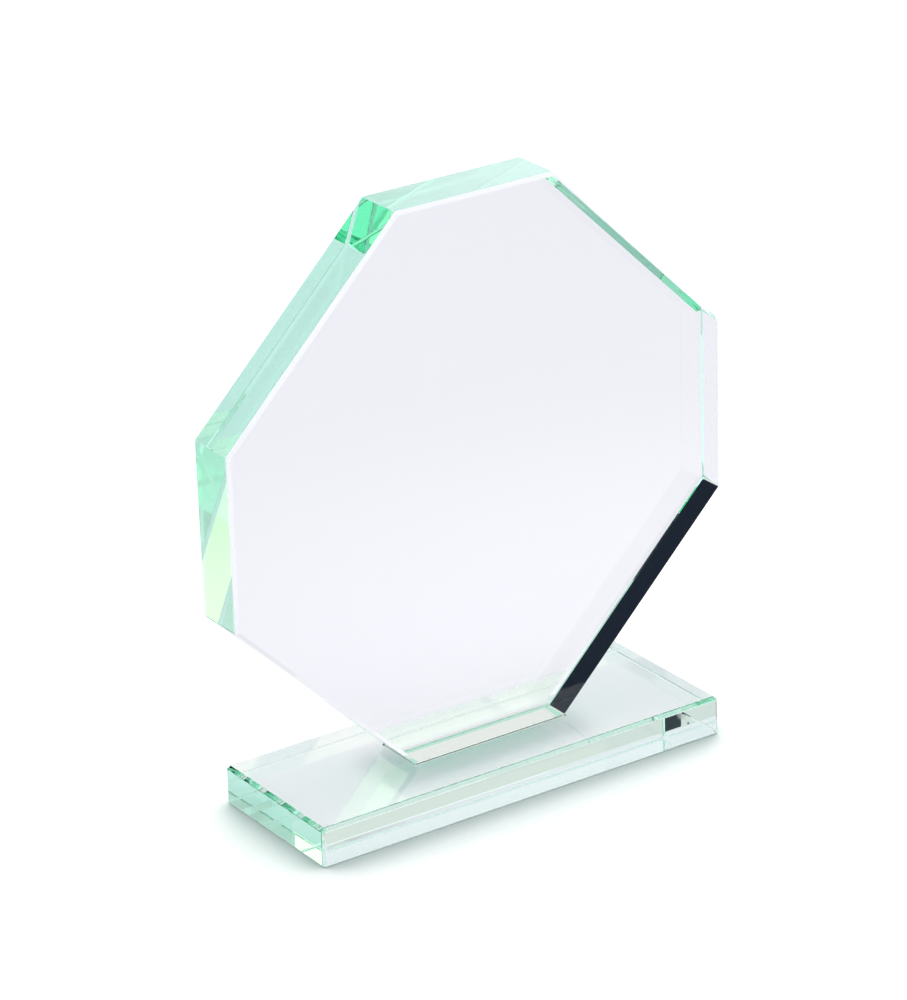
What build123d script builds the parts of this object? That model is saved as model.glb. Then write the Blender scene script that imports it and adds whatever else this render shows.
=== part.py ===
from build123d import *

import os

# Octagonal glass award: a bevelled plaque glued upright on a flat rectangular base.
#
# Frame: millimetres, +Z up, origin on the underside of the base at its centre. +X runs
# along the base and -Y is the front. Nothing on the object moves.

# Plaque: an upright octagon with four short straight edges and four longer 45-degree ones.
PLAQUE_WIDTH = 140.0
PLAQUE_HEIGHT = 140.0
PLAQUE_STRAIGHT_EDGE = 44.0
PLAQUE_THICKNESS = 15.0
FACE_BEVEL = 0.9  # polished 45-degree bevel round the front and the back face
PLAQUE_CORNER_ARRIS = 0.2  # on the eight edges that run through the thickness

# Base: a rectangular slab that lies flat.
BASE_LENGTH = 116.0
BASE_DEPTH = 43.0
BASE_THICKNESS = 10.0
BASE_TOP_ARRIS = 0.9  # round the top face
BASE_BOTTOM_ARRIS = 0.3  # round the underside
BASE_CORNER_ARRIS = 0.7  # on the four upright edges

# Adhesive: a film of clear cured glue, with a small bead in the groove round the plaque's foot.
FILM_THICKNESS = 0.12
BEAD_REACH = 0.5  # how far the bead stands out past the plaque's flat foot
BEAD_RISE = 0.35  # how far it climbs the bevel above the film
BEAD_LEAN = 0.2  # how much nearer to the foot the bead's side is at its top


def base():
    """The slab, with all its edges taken off."""
    slab = Box(BASE_LENGTH, BASE_DEPTH, BASE_THICKNESS, align=(Align.CENTER, Align.CENTER, Align.MIN))
    slab = chamfer(slab.edges().filter_by(Axis.Z), BASE_CORNER_ARRIS)
    slab = chamfer(slab.faces().sort_by(Axis.Z)[-1].edges(), BASE_TOP_ARRIS)
    return chamfer(slab.faces().sort_by(Axis.Z)[0].edges(), BASE_BOTTOM_ARRIS)


def octagon():
    """The plaque's outline, standing on Z = 0 in the XZ plane and centred on X = 0."""
    half_width = PLAQUE_WIDTH / 2
    half_edge = PLAQUE_STRAIGHT_EDGE / 2
    low = (PLAQUE_HEIGHT - PLAQUE_STRAIGHT_EDGE) / 2
    high = PLAQUE_HEIGHT - low
    right_side = [
        (half_edge, 0),
        (half_width, low),
        (half_width, high),
        (half_edge, PLAQUE_HEIGHT),
    ]
    left_side = [(-x, z) for x, z in reversed(right_side)]
    return make_face(Plane.XZ * Polyline(right_side + left_side, close=True))


def plaque():
    """The octagonal plate, bevelled round both faces, standing on the adhesive film."""
    plate = extrude(octagon(), PLAQUE_THICKNESS / 2, both=True)
    across = plate.edges().filter_by(Axis.Y)
    plate = chamfer(across, PLAQUE_CORNER_ARRIS)
    rims = plate.faces().filter_by(Axis.Y).edges()
    plate = chamfer(rims, FACE_BEVEL)
    return Pos(0, 0, BASE_THICKNESS + FILM_THICKNESS) * plate


def adhesive(plate):
    """The film under the plaque's foot and the bead round it, cut to the plaque's own shape."""
    foot = plate.faces().sort_by(Axis.Z)[0].bounding_box().size
    top_reach = BEAD_REACH - BEAD_LEAN
    bottom = Rectangle(foot.X + 2 * BEAD_REACH, foot.Y + 2 * BEAD_REACH)
    top = Rectangle(foot.X + 2 * top_reach, foot.Y + 2 * top_reach)
    top_height = BASE_THICKNESS + FILM_THICKNESS + BEAD_RISE
    glue = loft([Pos(0, 0, BASE_THICKNESS) * bottom, Pos(0, 0, top_height) * top])
    return glue - plate


def main():
    os.makedirs("parts", exist_ok=True)
    plate = plaque()
    nodes = {"plaque": plate, "base": base(), "adhesive_bond": adhesive(plate)}
    for name, shape in nodes.items():
        export_step(shape, f"parts/{name}.step")


main()
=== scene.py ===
import math

import bmesh
import bpy
from mathutils import Matrix, Vector


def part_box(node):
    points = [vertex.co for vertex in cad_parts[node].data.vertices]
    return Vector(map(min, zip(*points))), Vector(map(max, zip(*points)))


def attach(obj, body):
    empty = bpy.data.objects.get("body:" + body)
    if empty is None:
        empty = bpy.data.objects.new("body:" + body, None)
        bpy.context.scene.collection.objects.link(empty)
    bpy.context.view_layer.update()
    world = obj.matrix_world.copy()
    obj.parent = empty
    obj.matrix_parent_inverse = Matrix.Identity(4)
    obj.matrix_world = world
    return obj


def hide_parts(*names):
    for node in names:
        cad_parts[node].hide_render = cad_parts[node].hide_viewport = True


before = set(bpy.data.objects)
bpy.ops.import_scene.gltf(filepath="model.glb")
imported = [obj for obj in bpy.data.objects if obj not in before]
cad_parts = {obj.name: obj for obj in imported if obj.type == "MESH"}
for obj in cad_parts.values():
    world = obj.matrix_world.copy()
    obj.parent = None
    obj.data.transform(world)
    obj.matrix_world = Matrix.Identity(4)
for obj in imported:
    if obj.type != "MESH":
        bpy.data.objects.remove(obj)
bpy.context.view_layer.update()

MM = 0.001

# Camera: it looks down at the award from the front left, with a slight tilt of the whole view.
CAMERA_AZIMUTH = -33.8
CAMERA_ELEVATION = 23.2
CAMERA_ROLL = math.radians(-1.82)
CAMERA_DISTANCE = 1.049
CAMERA_TARGET = Vector((-0.0041, 0, 0.0719))
CAMERA_LENS_MM = 159.5
CAMERA_SENSOR_MM = 36
CAMERA_CLIP_END = 100

# Glass: refraction, and how much red, green and blue a metre of it absorbs.
GLASS_IOR = 1.5
ABSORPTION_PER_M = (3.6, 0.3, 1.5)
EDGE_ROUNDING = 0.12 * MM
ROUNDING_SEGMENTS = 2
SAME_POINT = 0.001 * MM
FLAT_ANGLE = math.radians(1)
# Air left above and below the glue film: in the photo the plaque's foot mirrors light as if it had
# air behind it.
BOND_GAP = 0.01 * MM

# Surface detail. Float glass is flat. Its edges were ground and polished by hand, so they are a
# little wavy, with a trace of polishing haze in patches.
EDGE_WAVE_SCALE = 55.0
EDGE_WAVE_HEIGHT = 0.02 * MM
FACE_WAVINESS = 0.1
GLUE_WAVE_SCALE = 400.0
GLUE_WAVE_HEIGHT = 0.03 * MM
WAVE_DETAIL = 2.0
HAZE_SCALE = 90.0
HAZE_DETAIL = 4.0
HAZE_FROM = 0.5
HAZE_FULL = 0.8
HAZE_ROUGHNESS = 0.08
SHEET_FACE_NORMAL = 0.99

# Table: a hair below the base. It is painted a shade darker and lavender to the glass than to
# the camera, which sees a painted contact shadow; what the glass mirrors of it is painted dimmer.
FLOOR_GAP = 0.15 * MM
FLOOR_SIZE = 14.0
# Painted light: the table is lavender to every ray but the camera's, which sees it white.
TABLE_TINT_TO_GLASS = (0.86, 0.81, 0.89)
TABLE_WHITE = (0.86, 0.86, 0.86)
TABLE_LIFT = 0.36
# Painted shade: where the glass mirrors the table in front and on the left, it is painted dimmer.
MIRRORED_TABLE = 0.2
DIM_IN_FRONT_OF = 0.015
BRIGHT_BEHIND = 0.035
DIM_LEFT_OF = -0.09
BRIGHT_RIGHT_OF = -0.07
CONTACT_SHADOW_REACH = 0.035
CONTACT_SHADOW_SAMPLES = 16
CONTACT_SHADOW_DEEPEST = 0.44
SHADOW_LEAN = (0.2, 0.35, 0.92)
SHADOW_TINT = (0.80, 1.0, 0.97)

# Painted light: the table glows, though no lamp is there, in a pool round the base, and more
# under it except below the foot.
POOL_CENTRE = (0.09, 0.03, 0)
POOL_FULL_WITHIN = 0.05
POOL_GONE_AT = 0.20
POOL_GLOW = 0.08
FOOT_HALF = (0.022, 0.005, 0.001)
FOOT_SHADE_REACH = 0.012
UNDER_BASE_GLOW = 0.26

# Studio. A softbox's strength is its radiance, which adds to that of the room behind it.
AWARD_CENTRE = Vector((0, 0, 0.06))
STUDIO_RADIUS = 1.2
WARM = (1.0, 0.88, 0.52)
DARK_CARD_COLOUR = (0.005, 0.012, 0.024)
ROOM_FRONT = 1.05
ROOM_BACK = 0.97
BACKGROUND = 1.05
MAX_BOUNCES = 48


def make_object(name, mesh_builder):
    """A new mesh object filled by mesh_builder(bm)."""
    mesh = bpy.data.meshes.new(name)
    bm = bmesh.new()
    mesh_builder(bm)
    bm.normal_update()
    bm.to_mesh(mesh)
    bm.free()
    piece = bpy.data.objects.new(name, mesh)
    bpy.context.scene.collection.objects.link(piece)
    return piece


def cad_faces(bm, node):
    """Fills bm with a CAD node's solid, its triangles merged back into whole flat faces."""
    bm.from_mesh(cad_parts[node].data)
    bmesh.ops.remove_doubles(bm, verts=bm.verts, dist=SAME_POINT)
    bmesh.ops.dissolve_limit(bm, angle_limit=FLAT_ANGLE, verts=bm.verts, edges=bm.edges)


def round_edges(bm):
    """Takes the razor edge off every corner between two faces, as polishing does."""
    bmesh.ops.bevel(
        bm, geom=list(bm.edges), offset=EDGE_ROUNDING, offset_type="OFFSET",
        segments=ROUNDING_SEGMENTS, profile=0.5, affect="EDGES", clamp_overlap=True,
    )


def build_plaque(bm):
    cad_faces(bm, "plaque")
    round_edges(bm)


def build_base(bm):
    cad_faces(bm, "base")
    round_edges(bm)


def build_film(bm):
    """The glue film and its bead, a hair clear of the glass above and below."""
    cad_faces(bm, "adhesive_bond")
    for vert in bm.verts:
        on_base = vert.co.z < base_high.z + SAME_POINT
        vert.co.z += BOND_GAP if on_base else -1.5 * BOND_GAP


def new_material(name):
    """An empty node material: the material, its nodes and its links."""
    material = bpy.data.materials.new(name)
    material.use_nodes = True
    nodes = material.node_tree.nodes
    nodes.clear()
    return material, nodes, material.node_tree.links


def link_new(nodes, links, kind, operation, *inputs):
    """A maths node of the given kind, its inputs set from numbers, vectors or other sockets."""
    node = nodes.new(kind)
    node.operation = operation
    for socket, value in zip(node.inputs, inputs):
        if isinstance(value, bpy.types.NodeSocket):
            links.new(value, socket)
        else:
            socket.default_value = value
    return node


def map_range(nodes, links, value, from_range, to_range, interpolation="LINEAR"):
    """A socket that carries value from one range over to another."""
    node = nodes.new("ShaderNodeMapRange")
    node.interpolation_type = interpolation
    node.inputs["From Min"].default_value, node.inputs["From Max"].default_value = from_range
    node.inputs["To Min"].default_value, node.inputs["To Max"].default_value = to_range
    links.new(value, node.inputs["Value"])
    return node.outputs["Result"]


def mix(nodes, links, data_type, factor, a, b):
    """A socket that mixes a and b, each a number, a colour or another socket."""
    node = nodes.new("ShaderNodeMix")
    node.data_type = data_type
    links.new(factor, node.inputs["Factor"])
    for socket, value in ((node.inputs["A"], a), (node.inputs["B"], b)):
        if isinstance(value, bpy.types.NodeSocket):
            links.new(value, socket)
        else:
            socket.default_value = value
    return node.outputs["Result"]


def noise(nodes, links, coords, scale, detail):
    texture = nodes.new("ShaderNodeTexNoise")
    texture.inputs["Scale"].default_value = scale
    texture.inputs["Detail"].default_value = detail
    links.new(coords.outputs["Object"], texture.inputs["Vector"])
    return texture.outputs["Fac"]


def edge_mask(nodes, links, sheet_axis):
    """1 on the ground and polished edges of a glass sheet, 0 on its two large faces."""
    place = nodes.new("ShaderNodeNewGeometry")
    normal = nodes.new("ShaderNodeSeparateXYZ")
    links.new(place.outputs["True Normal"], normal.inputs[0])
    across = link_new(nodes, links, "ShaderNodeMath", "ABSOLUTE", normal.outputs[sheet_axis])
    is_edge = link_new(
        nodes, links, "ShaderNodeMath", "LESS_THAN", across.outputs[0], SHEET_FACE_NORMAL,
    )
    return is_edge.outputs[0]


def glass_material(name, sheet_axis=None, absorption=None):
    """Clear material that bends light. Float glass has a sheet_axis across its thickness, and
    absorbs a little light; glue has neither."""
    material, nodes, links = new_material(name)
    output = nodes.new("ShaderNodeOutputMaterial")
    surface = nodes.new("ShaderNodeBsdfPrincipled")
    surface.inputs["Base Color"].default_value = (1, 1, 1, 1)
    surface.inputs["Transmission Weight"].default_value = 1.0
    surface.inputs["IOR"].default_value = GLASS_IOR
    links.new(surface.outputs["BSDF"], output.inputs["Surface"])

    coords = nodes.new("ShaderNodeTexCoord")
    edge = edge_mask(nodes, links, sheet_axis) if sheet_axis else None
    wave_scale = EDGE_WAVE_SCALE if edge else GLUE_WAVE_SCALE
    bump = nodes.new("ShaderNodeBump")
    bump.inputs["Distance"].default_value = EDGE_WAVE_HEIGHT if edge else GLUE_WAVE_HEIGHT
    links.new(noise(nodes, links, coords, wave_scale, WAVE_DETAIL), bump.inputs["Height"])
    links.new(bump.outputs["Normal"], surface.inputs["Normal"])
    haze = map_range(
        nodes, links, noise(nodes, links, coords, HAZE_SCALE, HAZE_DETAIL),
        (HAZE_FROM, HAZE_FULL), (0.0, HAZE_ROUGHNESS),
    )
    if edge:
        strength = map_range(nodes, links, edge, (0.0, 1.0), (FACE_WAVINESS, 1.0))
        links.new(strength, bump.inputs["Strength"])
        haze = link_new(nodes, links, "ShaderNodeMath", "MULTIPLY", haze, edge).outputs[0]
    links.new(haze, surface.inputs["Roughness"])

    if absorption:
        volume = nodes.new("ShaderNodeVolumeAbsorption")
        density = max(absorption)
        volume.inputs["Color"].default_value = (*[1 - a / density for a in absorption], 1)
        volume.inputs["Density"].default_value = density
        links.new(volume.outputs["Volume"], output.inputs["Volume"])
    return material


def contact_shadow(nodes, links):
    """Shadow round the base, greenish close to it because its light comes through the glass."""
    lean = nodes.new("ShaderNodeCombineXYZ")
    for socket, value in zip(lean.inputs, SHADOW_LEAN):
        socket.default_value = value
    contact = nodes.new("ShaderNodeAmbientOcclusion")
    contact.samples = CONTACT_SHADOW_SAMPLES
    contact.inputs["Distance"].default_value = CONTACT_SHADOW_REACH
    links.new(lean.outputs[0], contact.inputs["Normal"])
    open_sky = contact.outputs["AO"]
    kept = (CONTACT_SHADOW_DEEPEST, 1.0)
    shadow = map_range(nodes, links, open_sky, kept, kept)
    tint = mix(nodes, links, "RGBA", open_sky, (*SHADOW_TINT, 1), (1, 1, 1, 1))
    shaded = link_new(nodes, links, "ShaderNodeVectorMath", "SCALE", tint)
    links.new(shadow, shaded.inputs["Scale"])
    return shaded.outputs["Vector"]


def dimmed_in_mirror(nodes, links, path):
    """Painted shade in the glass's reflections: what the glass mirrors of the table in front and on
    the left is painted dimmer than what it refracts. A ray through clear glass counts as glossy
    too, so only those not transmitted are mirrored."""
    mirrored = link_new(
        nodes, links, "ShaderNodeMath", "SUBTRACT",
        path.outputs["Is Glossy Ray"], path.outputs["Is Transmission Ray"],
    )
    mirrored.use_clamp = True
    parts = nodes.new("ShaderNodeSeparateXYZ")
    links.new(nodes.new("ShaderNodeNewGeometry").outputs["Position"], parts.inputs[0])
    levels = (MIRRORED_TABLE, 1.0)
    behind = map_range(nodes, links, parts.outputs["Y"], (DIM_IN_FRONT_OF, BRIGHT_BEHIND), levels)
    inwards = map_range(nodes, links, parts.outputs["X"], (DIM_LEFT_OF, BRIGHT_RIGHT_OF), levels)
    lowest = link_new(nodes, links, "ShaderNodeMath", "MINIMUM", behind, inwards)
    dim = mix(nodes, links, "FLOAT", mirrored.outputs[0], 1.0, lowest.outputs[0])
    dimmed = nodes.new("ShaderNodeCombineXYZ")
    for socket in dimmed.inputs:
        links.new(dim, socket)
    return dimmed.outputs[0]


def glow_strength(nodes, links, is_camera):
    """The table glows with painted light: a pool of light round the base, and more under it that
    fades out below the plaque's foot."""
    vector = "ShaderNodeVectorMath"
    number = "ShaderNodeMath"
    place = nodes.new("ShaderNodeNewGeometry").outputs["Position"]
    reach = link_new(nodes, links, vector, "DISTANCE", place, POOL_CENTRE)
    pool = map_range(
        nodes, links, reach.outputs["Value"],
        (POOL_FULL_WITHIN, POOL_GONE_AT), (POOL_GLOW, 0.0), "SMOOTHSTEP",
    )
    around = link_new(nodes, links, number, "MULTIPLY_ADD", is_camera, TABLE_LIFT, pool)

    off_centre = link_new(nodes, links, vector, "ABSOLUTE", place).outputs["Vector"]
    past_foot = link_new(nodes, links, vector, "SUBTRACT", off_centre, FOOT_HALF).outputs["Vector"]
    outside = link_new(nodes, links, vector, "MAXIMUM", past_foot, (0, 0, 0)).outputs["Vector"]
    from_foot = link_new(nodes, links, vector, "LENGTH", outside).outputs["Value"]
    under = map_range(
        nodes, links, from_foot, (0.0, FOOT_SHADE_REACH), (0.0, UNDER_BASE_GLOW), "SMOOTHSTEP",
    )

    base_half = (base_high.x, base_high.y, 1)
    beyond = link_new(nodes, links, vector, "SUBTRACT", off_centre, base_half).outputs["Vector"]
    sides = nodes.new("ShaderNodeSeparateXYZ")
    links.new(beyond, sides.inputs[0])
    furthest = link_new(nodes, links, number, "MAXIMUM", sides.outputs["X"], sides.outputs["Y"])
    is_beside = link_new(nodes, links, number, "GREATER_THAN", furthest.outputs[0], 0.0)
    return mix(nodes, links, "FLOAT", is_beside.outputs[0], under, around.outputs[0])


def floor_material():
    """Pale table with painted light and shade: shaded where the base stands on it, dimmer where the
    glass mirrors it, lavender to the glass, and glowing in a pool.
    """
    material, nodes, links = new_material("white_table")
    output = nodes.new("ShaderNodeOutputMaterial")
    path = nodes.new("ShaderNodeLightPath")
    is_camera = path.outputs["Is Camera Ray"]
    level = mix(
        nodes, links, "RGBA", is_camera,
        dimmed_in_mirror(nodes, links, path), contact_shadow(nodes, links),
    )
    colour = mix(nodes, links, "RGBA", is_camera, (*TABLE_TINT_TO_GLASS, 1), (*TABLE_WHITE, 1))
    shaded = link_new(nodes, links, "ShaderNodeVectorMath", "MULTIPLY", colour, level)
    diffuse = nodes.new("ShaderNodeBsdfDiffuse")
    links.new(shaded.outputs["Vector"], diffuse.inputs["Color"])
    # Painted light: the table's own glow, strongest round and under the base.
    glow = nodes.new("ShaderNodeEmission")
    links.new(level, glow.inputs["Color"])
    links.new(glow_strength(nodes, links, is_camera), glow.inputs["Strength"])
    add = nodes.new("ShaderNodeAddShader")
    links.new(diffuse.outputs[0], add.inputs[0])
    links.new(glow.outputs[0], add.inputs[1])
    links.new(add.outputs[0], output.inputs["Surface"])
    return material


def add_floor():
    def build(bm):
        bmesh.ops.create_grid(bm, x_segments=1, y_segments=1, size=FLOOR_SIZE / 2)
        bmesh.ops.translate(bm, verts=bm.verts, vec=(0, 0, -FLOOR_GAP))

    floor = make_object("table", build)
    floor.data.materials.append(floor_material())


def towards(azimuth, elevation):
    """Unit vector to a place in the studio, from degrees: azimuth 0 is in front of the award, 90 on
    its right."""
    azimuth, elevation = math.radians(azimuth), math.radians(elevation)
    return Vector((
        math.sin(azimuth) * math.cos(elevation),
        -math.cos(azimuth) * math.cos(elevation),
        math.sin(elevation),
    ))


def facing(direction):
    """A rotation that turns an area light's or a card's -Z along direction."""
    return Vector(direction).to_track_quat("-Z", "Y").to_matrix().to_4x4()


def add_softbox(name, place, size, radiance, tint=(1, 1, 1), seen_through_glass=True):
    """A softbox at place that faces the award."""
    data = bpy.data.lights.new(name, "AREA")
    data.shape = "RECTANGLE"
    data.size, data.size_y = size
    data.color = tint
    data.energy = radiance * math.pi * size[0] * size[1]
    light = bpy.data.objects.new(name, data)
    light.matrix_world = Matrix.Translation(place) @ facing(AWARD_CENTRE - place)
    light.visible_camera = False
    light.visible_transmission = seen_through_glass
    bpy.context.scene.collection.objects.link(light)


def add_dark_card(name, place, size):
    """A matt dark card that only the glass sees."""
    def build(bm):
        turn = Matrix.Translation(place) @ facing(AWARD_CENTRE - place)
        bmesh.ops.create_grid(bm, x_segments=1, y_segments=1, size=0.5)
        bmesh.ops.scale(bm, vec=(size[0], size[1], 1), verts=bm.verts)
        bmesh.ops.transform(bm, matrix=turn, verts=bm.verts)

    card = make_object(name, build)
    material, nodes, links = new_material(name)
    output = nodes.new("ShaderNodeOutputMaterial")
    dark = nodes.new("ShaderNodeEmission")
    dark.inputs["Color"].default_value = (*DARK_CARD_COLOUR, 1)
    links.new(dark.outputs[0], output.inputs["Surface"])
    card.data.materials.append(material)
    card.visible_camera = False
    card.visible_diffuse = False
    card.visible_shadow = False


def add_lights():
    """Each call gives a place in the studio, a width and height in metres and a radiance."""
    near = STUDIO_RADIUS
    add_softbox("overhead", towards(60, 82) * 1.5, (1.1, 1.1), 1.9, seen_through_glass=False)
    add_softbox("right_front", towards(36, 17) * near, (0.30, 0.73), 1.1, WARM)
    add_softbox("low_right", towards(92, 6) * near, (0.5, 0.26), 0.7)
    add_softbox("left", towards(246, 22) * 1.3, (1.05, 0.95), 0.55)
    add_softbox("back_low", towards(148, 15) * near, (0.5, 0.28), 0.37)
    add_softbox("back_high", towards(146.5, 22.9) * 2.185, (0.2, 0.14), 0.4)
    add_dark_card("dark_card", towards(199, 42) * near, (0.48, 0.66))
    add_dark_card("low_card", towards(208, 27.8) * near, (0.23, 0.13))
    add_dark_card("lens", towards(335, 36) * near, (0.36, 0.30))


def add_world():
    """A white studio: brighter in front than behind, and plain white to the camera."""
    world = bpy.data.worlds.new("studio")
    bpy.context.scene.world = world
    world.use_nodes = True
    nodes = world.node_tree.nodes
    links = world.node_tree.links
    nodes.clear()
    output = nodes.new("ShaderNodeOutputWorld")
    shown = nodes.new("ShaderNodeMixShader")
    room = nodes.new("ShaderNodeBackground")
    seen = nodes.new("ShaderNodeBackground")
    seen.inputs["Color"].default_value = (1, 1, 1, 1)
    seen.inputs["Strength"].default_value = BACKGROUND
    direction = nodes.new("ShaderNodeTexCoord")
    parts = nodes.new("ShaderNodeSeparateXYZ")
    links.new(direction.outputs["Generated"], parts.inputs[0])
    depth = map_range(nodes, links, parts.outputs["Y"], (-1.0, 1.0), (ROOM_FRONT, ROOM_BACK))
    links.new(depth, room.inputs["Strength"])
    path = nodes.new("ShaderNodeLightPath")
    links.new(path.outputs["Is Camera Ray"], shown.inputs[0])
    links.new(room.outputs[0], shown.inputs[1])
    links.new(seen.outputs[0], shown.inputs[2])
    links.new(shown.outputs[0], output.inputs["Surface"])


def add_camera():
    back = towards(CAMERA_AZIMUTH, CAMERA_ELEVATION)
    azimuth = math.radians(CAMERA_AZIMUTH)
    right = Vector((math.cos(azimuth), math.sin(azimuth), 0))
    up = back.cross(right)
    turned_right = right * math.cos(CAMERA_ROLL) + up * math.sin(CAMERA_ROLL)
    turned_up = up * math.cos(CAMERA_ROLL) - right * math.sin(CAMERA_ROLL)
    turn = Matrix((turned_right, turned_up, back)).transposed().to_4x4()
    data = bpy.data.cameras.new("camera")
    data.lens = CAMERA_LENS_MM
    data.sensor_width = CAMERA_SENSOR_MM
    data.clip_end = CAMERA_CLIP_END
    camera = bpy.data.objects.new("camera", data)
    bpy.context.scene.collection.objects.link(camera)
    camera.matrix_world = Matrix.Translation(CAMERA_TARGET + back * CAMERA_DISTANCE) @ turn
    bpy.context.scene.camera = camera


base_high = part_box("base")[1]

plaque = make_object("plaque_glass", build_plaque)
plaque.data.materials.append(glass_material("clear_glass", "Y", ABSORPTION_PER_M))
base = make_object("base_glass", build_base)
base.data.materials.append(glass_material("base_glass", "Z", ABSORPTION_PER_M))
film = make_object("adhesive_film", build_film)
film.data.materials.append(glass_material("adhesive"))
for piece, node, slot in (
    (plaque, "plaque", "plaque_glass"),
    (base, "base", "base_glass"),
    (film, "adhesive_bond", "clear_adhesive"),
):
    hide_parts(node)
    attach(piece, "root")

add_floor()
add_lights()
add_world()
add_camera()
scene = bpy.context.scene
scene.view_settings.view_transform = "Standard"
scene.cycles.max_bounces = MAX_BOUNCES
scene.cycles.transmission_bounces = MAX_BOUNCES
scene.cycles.glossy_bounces = MAX_BOUNCES
scene.cycles.diffuse_bounces = 4
# The default blur darkens the table where light reaches it through the glass.
scene.cycles.blur_glossy = 0.0
scene.cycles.caustics_refractive = True
scene.cycles.caustics_reflective = True
